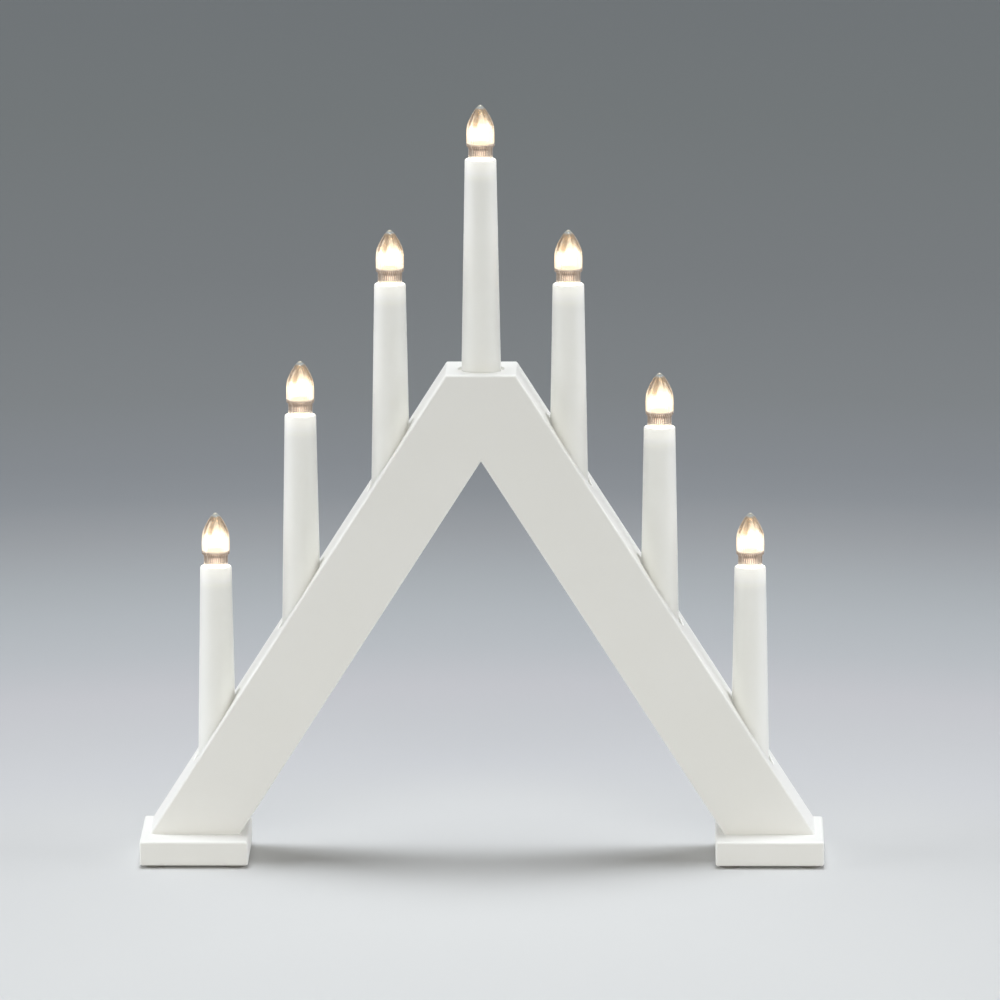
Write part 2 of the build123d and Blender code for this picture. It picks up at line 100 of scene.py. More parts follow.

# Painted glow for the lamp's light on its candle sleeve: depths below the top and radii of the bore, in
# millimetres
LIT_THROUGH = 12
LIT_INSIDE = 9
LIT_INSIDE_FULL = 1
BORE_EDGE = 7.3
BORE_WALL = 6.9
DIRECT_STRENGTH = 1.6

# Half outlines as (radius, height, share of the flute or thread depth)
GLASS_OUTSIDE = (
    (0, 27.2, 0), (0.8, 26.9, 0), (1.46, 26.06, 0), (2.61, 24.97, 0.3), (4.95, 20.95, 0.75),
    (6.57, 16.98, 1), (6.95, 13.0, 1), (6.95, 9.8, 1), (6.95, 6.95, 1), (6.88, 6.5, 1),
    (6.3, 6.05, 1), (6.05, 5.7, 1), (6.0, 2.0, 1), (6.05, -1.5, 0.6), (6.15, -4.3, 0),
    (5.8, -4.9, 0), (4.7, -5.45, 0), (4.5, -5.8, 0), (4.5, -6.8, 0), (4.2, -7.0, 0), (0, -7.0, 0),
)
GLASS_INSIDE = (
    (0, 26.0, 0), (0.9, 25.6, 0), (2.15, 24.5, 0), (4.4, 20.7, 0), (6.02, 16.8, 0),
    (6.4, 13.0, 0), (6.4, 9.8, 0), (6.4, 7.1, 0), (6.25, 6.7, 0), (5.7, 6.25, 0),
    (5.5, 5.8, 0), (5.45, 0, 0), (5.5, -4.2, 0), (5.2, -4.8, 0), (4.1, -5.2, 0), (3.95, -5.6, 0),
    (3.95, -6.2, 0), (3.6, -6.5, 0), (0, -6.5, 0),
)
STEM_OUTLINE = (
    (0, 4.8, 0), (0.8, 4.7, 1), (1.3, 4.2, 1), (1.5, 3.0, 1), (1.6, 1.0, 1), (1.7, -0.5, 0.8),
    (1.9, -2.0, 0.4), (2.6, -4.0, 0), (3.3, -5.6, 0), (3.4, -6.3, 0), (3.0, -6.45, 0),
    (0, -6.45, 0),
)
CAP_OUTLINE = (
    (4.52, -5.62, 0), (4.85, -5.62, 0), (4.95, -5.75, 0), (4.95, -6.75, 0), (4.85, -6.9, 0),
    (4.75, -7.0, 0.1), (4.75, -7.5, 0.9), (4.75, -8.5, 1), (4.75, -10.5, 1), (4.75, -12.5, 1),
    (4.75, -13.6, 0.9), (4.6, -14.2, 0.2), (4.4, -14.4, 0), (4.38, -14.9, 0), (4.2, -15.04, 0),
    (3.9, -15.1, 0),
)
INSULATOR_OUTLINE = (
    (4.0, -15.0, 0), (3.9, -15.2, 0), (3.4, -15.9, 0), (2.6, -16.5, 0), (2.2, -16.72, 0),
    (1.7, -16.74, 0),
)
CONTACT_OUTLINE = (
    (1.8, -16.7, 0), (1.78, -16.9, 0), (1.6, -17.2, 0), (1.2, -17.45, 0), (0.6, -17.53, 0),
    (0, -17.54, 0),
)
# Path of the right lead wire, as (X, Y, height)
LEAD_PATH = (
    (0.8, 0, 0.5), (0.85, 0, 2.6), (1.2, 0, 4.5), (2.2, 0, 8.0), (2.72, 0, 9.7), (2.72, 0, 10.1),
)


# Small helpers for colours, nodes and materials

def hex_colour(code, alpha=1.0):
    """Linear colour of an sRGB hex value such as 'F4F3EE'."""
    channels = [int(code[i:i + 2], 16) / 255 for i in (0, 2, 4)]
    linear = [c / 12.92 if c <= 0.04045 else ((c + 0.055) / 1.055) ** 2.4 for c in channels]
    return (*linear, alpha)


def feed(tree, node, inputs):
    """Sets a node's inputs, each to a value, to an output, or to a node's first output in use."""
    for name, value in inputs.items():
        if isinstance(value, bpy.types.Node):
            value = next(output for output in value.outputs if output.enabled)
        if isinstance(value, bpy.types.NodeSocket):
            tree.links.new(value, node.inputs[name])
        else:
            node.inputs[name].default_value = value


def add(tree, kind, *inputs, **settings):
    """Adds a node with its settings; its inputs come in order, or by name in one dict."""
    node = tree.nodes.new(kind)
    for name, value in settings.items():
        setattr(node, name, value)
    by_name = inputs and isinstance(inputs[0], dict)
    feed(tree, node, inputs[0] if by_name else dict(enumerate(inputs)))
    return node


def new_material(name, **sockets):
    """A material with one Principled shader, whose sockets are set by name; returns both."""
    material = bpy.data.materials.new(name)
    material.use_nodes = True
    shader = material.node_tree.nodes["Principled BSDF"]
    for socket, value in sockets.items():
        shader.inputs[socket.replace("_", " ")].default_value = value
    return material, shader


# Finishes

def satin_paint(name, grain_turn):
    """Sprayed white satin paint on planed pine: soft and even, with a fine skin and a trace of grain."""
    material, shader = new_material(name, IOR=1.5)
    tree = material.node_tree
    place = add(tree, "ShaderNodeTexCoord").outputs["Object"]
    # Wood grain shows through the paint as long low streaks, about 1.4 mm across and 60 mm long
    along = add(tree, "ShaderNodeMapping", {
        "Vector": place, "Rotation": (0, grain_turn, 0), "Scale": (60 * MM, 1.4 * MM, 1.4 * MM),
    }, vector_type="TEXTURE")
    grain = add(tree, "ShaderNodeTexNoise", {"Vector": along, "Scale": 1.0, "Detail": 3.0})
    # Sprayed paint dries with a skin of about 1.5 mm ripples
    skin = add(tree, "ShaderNodeTexNoise", {"Vector": place, "Scale": 1 / (1.5 * MM), "Detail": 2.0})
    # The coat is a little uneven over 50 mm
    cloud = add(tree, "ShaderNodeTexNoise", {"Vector": place, "Scale": 1 / (50 * MM), "Detail": 2.0})
    tone = add(tree, "ShaderNodeMix", {
        "Factor": cloud, "A": hex_colour("F3F2EC"), "B": hex_colour("F6F5F1"),
    }, data_type="RGBA")
    shine = add(tree, "ShaderNodeMapRange", {
        "Value": cloud, "From Min": 0.3, "From Max": 0.7, "To Min": 0.36, "To Max": 0.44,
    })
    heights = add(tree, "ShaderNodeMath", grain, 0.6, skin, operation="MULTIPLY_ADD")
    relief = add(tree, "ShaderNodeBump", {"Height": heights, "Strength": 0.25, "Distance": 0.03 * MM})
    feed(tree, shader, {"Base Color": tone, "Roughness": shine, "Normal": relief})
    return material


def turned_beech():
    """Raw beech dowel: pale pinkish brown with short dark flecks along its length."""
    material, shader = new_material("turned_beech", Roughness=0.6)
    tree = material.node_tree
    place = add(tree, "ShaderNodeTexCoord").outputs["Object"]
    # Flecks about 0.4 mm across and 5 mm long, along X as the dowels lie
    along = add(tree, "ShaderNodeMapping", {
        "Vector": place, "Scale": (5 * MM, 0.4 * MM, 0.4 * MM),
    }, vector_type="TEXTURE")
    fleck = add(tree, "ShaderNodeTexNoise", {"Vector": along, "Scale": 1.0, "Detail": 4.0})
    tone = add(tree, "ShaderNodeMix", {
        "Factor": fleck, "A": hex_colour("A9825A"), "B": hex_colour("D6B488"),
    }, data_type="RGBA")
    relief = add(tree, "ShaderNodeBump", {"Height": fleck, "Strength": 0.4, "Distance": 0.05 * MM})
    feed(tree, shader, {"Base Color": tone, "Normal": relief})
    return material


def pressed_felt():
    """Pressed wool felt, quite matt, with tangled fibres; its mid grey is darker than the pale felt,
    painted shade for the gap under the feet.
    """
    material, shader = new_material("pressed_felt", Roughness=0.95, Sheen_Weight=0.3)
    tree = material.node_tree
    place = add(tree, "ShaderNodeTexCoord").outputs["Object"]
    # Fibre tufts are drawn 0.5 mm wide, coarser than real ones, so that they show
    tufts = add(tree, "ShaderNodeTexNoise", {
        "Vector": place, "Scale": 1 / (0.5 * MM), "Detail": 5.0, "Distortion": 1.5,
    })
    # Mid grey, darker than the pale felt: painted shade of the gap under the feet
    tone = add(tree, "ShaderNodeMix", {
        "Factor": tufts, "A": hex_colour("686661"), "B": hex_colour("8E8C86"),
    }, data_type="RGBA")
    relief = add(tree, "ShaderNodeBump", {"Height": tufts, "Strength": 0.8, "Distance": 0.2 * MM})
    feed(tree, shader, {"Base Color": tone, "Normal": relief})
    return material


def zinc_plated_steel():
    """Bright zinc plate on small screws: cool grey with cloudy shine."""
    material, shader = new_material("zinc_plated_steel", Base_Color=hex_colour("B9BCBE"), Metallic=1.0)
    tree = material.node_tree
    place = add(tree, "ShaderNodeTexCoord").outputs["Object"]
    # Plating clouds about 0.8 mm wide
    cloud = add(tree, "ShaderNodeTexNoise", {"Vector": place, "Scale": 1 / (0.8 * MM), "Detail": 3.0})
    shine = add(tree, "ShaderNodeMapRange", {"Value": cloud, "To Min": 0.22, "To Max": 0.42})
    relief = add(tree, "ShaderNodeBump", {"Height": cloud, "Strength": 0.2, "Distance": 0.01 * MM})
    feed(tree, shader, {"Roughness": shine, "Normal": relief})
    return material


def soft_moulding(name, pale, dark, roughness, grain_mm, depth_mm):
    """Moulded or extruded plastic: one colour with a fine even surface grain of `grain_mm`."""
    material, shader = new_material(name, IOR=1.49, Roughness=roughness)
    tree = material.node_tree
    place = add(tree, "ShaderNodeTexCoord").outputs["Object"]
    grain = add(tree, "ShaderNodeTexNoise", {
        "Vector": place, "Scale": 1 / (grain_mm * MM), "Detail": 2.0,
    })
    # The colour clouds a little over 12 mm
    cloud = add(tree, "ShaderNodeTexNoise", {"Vector": place, "Scale": 1 / (12 * MM), "Detail": 1.0})
    tone = add(tree, "ShaderNodeMix", {
        "Factor": cloud, "A": hex_colour(dark), "B": hex_colour(pale),
    }, data_type="RGBA")
    relief = add(tree, "ShaderNodeBump", {"Height": grain, "Strength": 0.3, "Distance": depth_mm * MM})
    feed(tree, shader, {"Base Color": tone, "Normal": relief})
    return material, shader


def candle_plastic(place, axis, top):
    """Moulded polypropylene candle: satin white, with a painted glow near its mouth for the light of the
    lamp inside.
    """
    name = "candle_polypropylene_" + place
    material, shader = soft_moulding(
        name, pale="F8F8F4", dark="F5F5F0", roughness=0.42, grain_mm=0.9, depth_mm=0.02,
    )
    tree = material.node_tree
    whole = add(tree, "ShaderNodeTexCoord").outputs["Object"]
    spot = add(tree, "ShaderNodeVectorMath", whole, axis, operation="SUBTRACT")
    parts = add(tree, "ShaderNodeSeparateXYZ", {"Vector": spot}).outputs
    # Painted glow: the lamp's light through the thin wall near the top, and very faintly below
    through = add(tree, "ShaderNodeMapRange", {
        "Value": parts["Z"], "From Min": top - LIT_THROUGH * MM, "From Max": top,
        "To Min": 0.03, "To Max": 0.24,
    }, interpolation_type="SMOOTHSTEP")
    # Painted glow also stands for the lamp's direct light on its inner wall and the edge of its mouth
    flat = add(tree, "ShaderNodeVectorMath", spot, (1, 1, 0), operation="MULTIPLY")
    radius = add(tree, "ShaderNodeVectorMath", flat, operation="LENGTH")
    inner = add(tree, "ShaderNodeMapRange", {
        "Value": radius, "From Min": BORE_EDGE * MM, "From Max": BORE_WALL * MM,
    })
    near = add(tree, "ShaderNodeMapRange", {
        "Value": parts["Z"],
        "From Min": top - LIT_INSIDE * MM, "From Max": top - LIT_INSIDE_FULL * MM,
    }, interpolation_type="SMOOTHSTEP")
    direct = add(tree, "ShaderNodeMath", inner, near, operation="MULTIPLY")
    painted_glow = add(tree, "ShaderNodeMath", direct, DIRECT_STRENGTH, through, operation="MULTIPLY_ADD")
    # Light also wraps round inside the pale wall, so its edges are a little brighter
    feed(tree, shader, {
        "Sheen Weight": 0.25, "Sheen Roughness": 0.4,
        "Emission Color": hex_colour("FFF9EA"), "Emission Strength": painted_glow,
    })
    return material


def pressed_brass():
    """Thin brass sheet, pressed: warm yellow with faint rolling lines."""
    material, shader = new_material("pressed_brass", Metallic=1.0, Roughness=0.3)
    tree = material.node_tree
    place = add(tree, "ShaderNodeTexCoord").outputs["Object"]
    # Rolling lines 0.3 mm apart, round the shell
    lines = add(tree, "ShaderNodeMapping", {
        "Vector": place, "Scale": (6 * MM, 6 * MM, 0.3 * MM),
    }, vector_type="TEXTURE")
    rolled = add(tree, "ShaderNodeTexNoise", {"Vector": lines, "Scale": 1.0, "Detail": 2.0})
    tone = add(tree, "ShaderNodeMix", {
        "Factor": rolled, "A": hex_colour("B8924C"), "B": hex_colour("D9B870"),
    }, data_type="RGBA")
    relief = add(tree, "ShaderNodeBump", {"Height": rolled, "Strength": 0.2, "Distance": 0.01 * MM})
    feed(tree, shader, {"Base Color": tone, "Normal": relief})
    return material


def nickel_plate():
    """Nickel plate on the rolled lamp cap: pale warm grey, bright, with tiny die marks."""
    material, shader = new_material("nickel_plate", Base_Color=hex_colour("C9C3B4"), Metallic=1.0)
    tree = material.node_tree
    place = add(tree, "ShaderNodeTexCoord").outputs["Object"]
    # Die marks about 0.6 mm wide
    marks = add(tree, "ShaderNodeTexNoise", {"Vector": place, "Scale": 1 / (0.6 * MM), "Detail": 4.0})
    shine = add(tree, "ShaderNodeMapRange", {"Value": marks, "To Min": 0.18, "To Max": 0.34})
    relief = add(tree, "ShaderNodeBump", {"Height": marks, "Strength": 0.15, "Distance": 0.01 * MM})
    feed(tree, shader, {"Roughness": shine, "Normal": relief})
    return material


def solder():
    """Blob of soft solder on the end contact: dull silver, slightly wrinkled."""
    material, shader = new_material(
        "soft_solder", Base_Color=hex_colour("A9A9A6"), Metallic=1.0, Roughness=0.38,
    )
    tree = material.node_tree
    place = add(tree, "ShaderNodeTexCoord").outputs["Object"]
    # Wrinkles about 0.7 mm wide
    wrinkles = add(tree, "ShaderNodeTexNoise", {
        "Vector": place, "Scale": 1 / (0.7 * MM), "Detail": 3.0,
    })
    relief = add(tree, "ShaderNodeBump", {"Height": wrinkles, "Strength": 0.5, "Distance": 0.06 * MM})
    feed(tree, shader, {"Normal": relief})
    return material


def black_cap_glass():
    """Black glass that insulates the end contact: glossy, with flow ripples."""
    material, shader = new_material(
        "black_cap_glass", Base_Color=hex_colour("1B1A20"), Roughness=0.12, IOR=1.52,
    )
    tree = material.node_tree
    place = add(tree, "ShaderNodeTexCoord").outputs["Object"]
    # Ripples about 1.2 mm wide
    ripples = add(tree, "ShaderNodeTexNoise", {
        "Vector": place, "Scale": 1 / (1.2 * MM), "Detail": 1.0,
    })
    relief = add(tree, "ShaderNodeBump", {"Height": ripples, "Strength": 0.3, "Distance": 0.05 * MM})
    feed(tree, shader, {"Normal": relief})
    return material


def lamp_glass(name):
    """Clear pressed lamp glass with faint ripples from the mould; also returns its place by lamp."""
    material, shader = new_material(
        name, Base_Color=hex_colour("FFFDF8"), Roughness=0.02, IOR=1.5, Transmission_Weight=1.0,
    )
    tree = material.node_tree
    place = add(tree, "ShaderNodeTexCoord").outputs["Object"]
    # Ripples about 1.6 mm wide
    ripples = add(tree, "ShaderNodeTexNoise", {
        "Vector": place, "Scale": 1 / (1.6 * MM), "Detail": 1.0,
    })
    relief = add(tree, "ShaderNodeBump", {"Height": ripples, "Strength": 0.15, "Distance": 0.03 * MM})
    feed(tree, shader, {"Normal": relief})
    spot = add(tree, "ShaderNodeAttribute", attribute_name="lamp_spot").outputs["Vector"]
    return material, shader, spot


def between(tree, height, low, high, soft):
    """1 between two heights in millimetres, fading to 0 over `soft` at each end."""
    rise = add(tree, "ShaderNodeMapRange", {
        "Value": height, "From Min": (low - soft / 2) * MM, "From Max": (low + soft / 2) * MM,
    }, interpolation_type="SMOOTHSTEP")
    fall = add(tree, "ShaderNodeMapRange", {
        "Value": height, "From Min": (high + soft / 2) * MM, "From Max": (high - soft / 2) * MM,
    }, interpolation_type="SMOOTHSTEP")
    return add(tree, "ShaderNodeMath", rise, fall, operation="MULTIPLY")


def lay_bands(tree, height, colour, bands):
    """Lays bands over a colour, each (low, high, softness, colour), from low to high in millimetres."""
    for low, high, soft, over in bands:
        colour = add(tree, "ShaderNodeMix", {
            "Factor": between(tree, height, low, high, soft), "A": colour, "B": over,
        }, data_type="RGBA")
    return colour


def turning_colour(tree, height, low, high, foot, top):
    """A colour that turns from `foot` to `top` between two heights in millimetres."""
    share = add(tree, "ShaderNodeMapRange", {
        "Value": height, "From Min": low * MM, "From Max": high * MM,
    })
    return add(tree, "ShaderNodeMix", {
        "Factor": share, "A": hex_colour(foot), "B": hex_colour(top),
    }, data_type="RGBA")


def flute_pattern(tree, spot):
    """What the light follows: height, crests of the flutes, a chance value of each, bright lobes."""
    parts = add(tree, "ShaderNodeSeparateXYZ", {"Vector": spot}).outputs
    angle = add(tree, "ShaderNodeMath", parts["Y"], parts["X"], operation="ARCTAN2")
    waves = add(tree, "ShaderNodeMath", angle, FLUTE_COUNT, operation="MULTIPLY")
    crest = add(tree, "ShaderNodeMath", waves, operation="COSINE")
    passed = add(tree, "ShaderNodeMath", angle, FLUTE_COUNT / (2 * math.pi), operation="MULTIPLY")
    flute = add(tree, "ShaderNodeMath", passed, operation="ROUND")
    number = add(tree, "ShaderNodeMath", flute, FLUTE_COUNT, operation="FLOORED_MODULO")
    chance = add(tree, "ShaderNodeTexWhiteNoise", {"W": number}, noise_dimensions="1D")
    # Three bright lobes, one right of the front, narrow to points as they climb the cone
    swung = add(tree, "ShaderNodeMath", angle, LOBES, LOBES * LOBE_TURN, operation="MULTIPLY_ADD")
    swing = add(tree, "ShaderNodeMath", swung, operation="COSINE")
    lobe = add(tree, "ShaderNodeMath", swing, LOBE_SWING, LOBE_BIAS, operation="MULTIPLY_ADD")
    ragged = add(tree, "ShaderNodeMath", chance, RAGGEDNESS, lobe, operation="MULTIPLY_ADD")
    climb = add(tree, "ShaderNodeMapRange", {
        "Value": parts["Z"], "From Min": LOBE_FOOT * MM, "From Max": LOBE_TOP * MM,
        "To Min": 0.0, "To Max": LOBE_LOSS,
    })
    inside = add(tree, "ShaderNodeMath", ragged, climb, operation="SUBTRACT")
    bright = add(tree, "ShaderNodeMapRange", {
        "Value": inside, "From Min": -0.25, "From Max": 0.35,
    }, interpolation_type="SMOOTHSTEP")
    return parts["Z"], crest, chance, bright


def fluted_glass():
    """Outside of the lamp glass: clear, with painted shade and painted light in the flutes of its neck
    and cone.
    """
    material, shader, spot = lamp_glass("glass_fluted")
    tree = material.node_tree
    height, crest, chance, bright = flute_pattern(tree, spot)
    # Painted shade in the neck, deeper in the flutes' valleys
    valley = add(tree, "ShaderNodeMapRange", {"Value": crest, "From Min": 0.7, "From Max": -0.7})
    painted_neck_shade = add(tree, "ShaderNodeMix", {
        "Factor": valley, "A": hex_colour("7C7168"), "B": hex_colour("524842"),
    }, data_type="RGBA")
    # Seen along its wall the glass looks deeper in colour
    slant = add(tree, "ShaderNodeLayerWeight", {"Blend": 0.5}).outputs["Facing"]
    deep = add(tree, "ShaderNodeMapRange", {"Value": slant, "From Min": 0.2, "From Max": 0.7})
    clear = add(tree, "ShaderNodeMix", {
        "Factor": deep, "A": hex_colour("FFFDF8"), "B": hex_colour("A27E54"),
    }, data_type="RGBA")
    # Bands of painted shade in the neck, and the cool tint of the nipple's painted highlight
    tint = lay_bands(tree, height, clear, (
        (PAINTED_SHADE_FOOT, PAINTED_SHADE_TOP, 0.8, painted_neck_shade),
        (DARK_PAINTED_SHADE_FOOT, DARK_PAINTED_SHADE_TOP, 0.8, hex_colour("463A34")),
        (NIPPLE_FOOT, WELL_OVER, 1.2, hex_colour("BCD4E0")),
    ))
    # Tea-brown and cream streaks of painted light and shade tint the cone between its bright lobes
    unlit = add(tree, "ShaderNodeMath", 1.0, bright, operation="SUBTRACT")
    on_cone = between(tree, height, PAINTED_STREAK_FOOT, PAINTED_STREAK_TOP, 2.0)
    painted_streak_share = add(tree, "ShaderNodeMath", on_cone, unlit, operation="MULTIPLY")
    painted_streak_colour = add(tree, "ShaderNodeMix", {
        "Factor": chance, "A": hex_colour("94765A"), "B": hex_colour("F2E6D2"),
    }, data_type="RGBA")
    base = add(tree, "ShaderNodeMix", {"Factor": painted_streak_share, "A": tint, "B": painted_streak_colour}, data_type="RGBA")
    # Painted light: the neck's flutes show the lamp's light as a haze with fine lines, its foot the
    # sleeve's glow, and the nipple a painted highlight of cool daylight
    line = add(tree, "ShaderNodeMath", valley, chance, operation="MULTIPLY")
    painted_haze = add(tree, "ShaderNodeMix", {
        "Factor": line, "A": hex_colour("60564C"), "B": hex_colour("A6998A"),
    }, data_type="RGBA")
    painted_glow = lay_bands(tree, height, hex_colour("000000"), (
        (NECK_FOOT, NECK_TOP, 0.6, painted_haze),
        (SLEEVE_GLOW_FOOT, NECK_FOOT, 0.6, hex_colour("7A746C")),
        (NIPPLE_FOOT, WELL_OVER, 1.2, hex_colour("565C60")),
    ))
    feed(tree, shader, {"Base Color": base, "Emission Color": painted_glow, "Emission Strength": 1.0})
    return material


def lit_inner_wall():
    """Inside of the lit glass, its glow all painted: white round the filament, tea streaks above, a dim
    haze below.
    """
    material, shader, spot = lamp_glass("glass_inside_lit")
    tree = material.node_tree
    height, _, chance, bright = flute_pattern(tree, spot)
    # Front and back wall add up, so each gives half of what shows
    cream = turning_colour(tree, height, 15, 24, "D6C3A4", "94846E")
    dark_tea = turning_colour(tree, height, 13.5, 20, "C4AA86", "22180F")
    pale_tea = turning_colour(tree, height, 14, 21, "DCC7A6", "94806A")
    streak = add(tree, "ShaderNodeMath", chance, 1.5, operation="POWER")
    tea = add(tree, "ShaderNodeMix", {
        "Factor": streak, "A": dark_tea, "B": pale_tea,
    }, data_type="RGBA")
    cone = add(tree, "ShaderNodeMix", {"Factor": bright, "A": tea, "B": cream}, data_type="RGBA")
    painted_glow = lay_bands(tree, height, hex_colour("E6D2B4"), (
        (INNER_CONE_FOOT, WELL_OVER, 2.0, cone),
        (INNER_NECK_FOOT, INNER_NECK_TOP, 0.8, hex_colour("28221C")),
        (WELL_UNDER, INNER_NECK_FOOT, 0.6, hex_colour("000000")),
        (SLEEVE_GLOW_FOOT, INNER_NECK_FOOT, 0.6, hex_colour("7C756A")),
        (INNER_TIP_FOOT, WELL_OVER, 1.0, hex_colour("4A443C")),
    ))
    feed(tree, shader, {"Emission Color": painted_glow, "Emission Strength": 1.0})
    return material


def stem_glass_lit():
    """Solid glass stem, with a painted warm spot of light at its pinched top."""
    material, shader, spot = lamp_glass("glass_stem")
    tree = material.node_tree
    parts = add(tree, "ShaderNodeSeparateXYZ", {"Vector": spot}).outputs
    aside = add(tree, "ShaderNodeMath", parts["X"], operation="ABSOLUTE")
    middle = add(tree, "ShaderNodeMapRange", {
        "Value": aside, "From Min": 1.3 * MM, "From Max": 0.3 * MM,
    }, interpolation_type="SMOOTHSTEP")
    near_top = between(tree, parts["Z"], STEM_SPOT_FOOT, STEM_SPOT_TOP, 1.2)
    share = add(tree, "ShaderNodeMath", near_top, middle, operation="MULTIPLY")
    painted_glow = add(tree, "ShaderNodeMath", share, STEM_SPOT_STRENGTH, operation="MULTIPLY")
    feed(tree, shader, {"Emission Color": hex_colour("FFE6D6"), "Emission Strength": painted_glow})
    return material


def glowing_tungsten():
    """Coiled tungsten at about 2700 K: warm and far brighter than anything round it."""
    material, shader = new_material(
        "glowing_tungsten", Base_Color=hex_colour("6B6660"), Metallic=1.0, Roughness=0.4,
    )
    tree = material.node_tree
    place = add(tree, "ShaderNodeTexCoord").outputs["Object"]
    # The wire glows a little unevenly over half a millimetre
    heat = add(tree, "ShaderNodeTexNoise", {"Vector": place, "Scale": 1 / (0.5 * MM), "Detail": 1.0})
    strength = add(tree, "ShaderNodeMapRange", {"Value": heat, "To Min": 22.0, "To Max": 34.0})
    feed(tree, shader, {"Emission Color": hex_colour("FFD9A0"), "Emission Strength": strength})
    return material


def nickel_lead():
    """Drawn nickel lead wire: grey and bright, with drawing lines."""
    material, shader = new_material(
        "nickel_lead_wire", Base_Color=hex_colour("A79F92"), Metallic=1.0, Roughness=0.3,
    )
    tree = material.node_tree
    place = add(tree, "ShaderNodeTexCoord").outputs["Object"]
    # Drawing lines about 0.1 mm across and 3 mm long
    drawn = add(tree, "ShaderNodeMapping", {
        "Vector": place, "Scale": (0.1 * MM, 0.1 * MM, 3 * MM),
    }, vector_type="TEXTURE")
    lines = add(tree, "ShaderNodeTexNoise", {"Vector": drawn, "Scale": 1.0, "Detail": 1.0})
    relief = add(tree, "ShaderNodeBump", {"Height": lines, "Strength": 0.2, "Distance": 0.01 * MM})
    feed(tree, shader, {"Normal": relief})
    return material


# Geometry trees

def new_tree(name, inputs):
    """A geometry tree with inputs as (name, socket type); returns it with its input node's outputs."""
    tree = bpy.data.node_groups.new(name, "GeometryNodeTree")
    tree.interface.new_socket("Geometry", in_out="INPUT", socket_type="NodeSocketGeometry")
    for label, kind in inputs:
        tree.interface.new_socket(label, in_out="INPUT", socket_type=kind)
    tree.interface.new_socket("Geometry", in_out="OUTPUT", socket_type="NodeSocketGeometry")
    return tree, add(tree, "NodeGroupInput").outputs


def close_tree(tree, geometry, material):
    """Ends a tree with smooth shading, real geometry and its material."""
    smooth = add(tree, "GeometryNodeSetShadeSmooth", {"Geometry": geometry})
    real = add(tree, "GeometryNodeRealizeInstances", {"Geometry": smooth})
    dressed = add(tree, "GeometryNodeSetMaterial", {"Geometry": real, "Material": material})
    add(tree, "NodeGroupOutput", {"Geometry": dressed})
    return tree


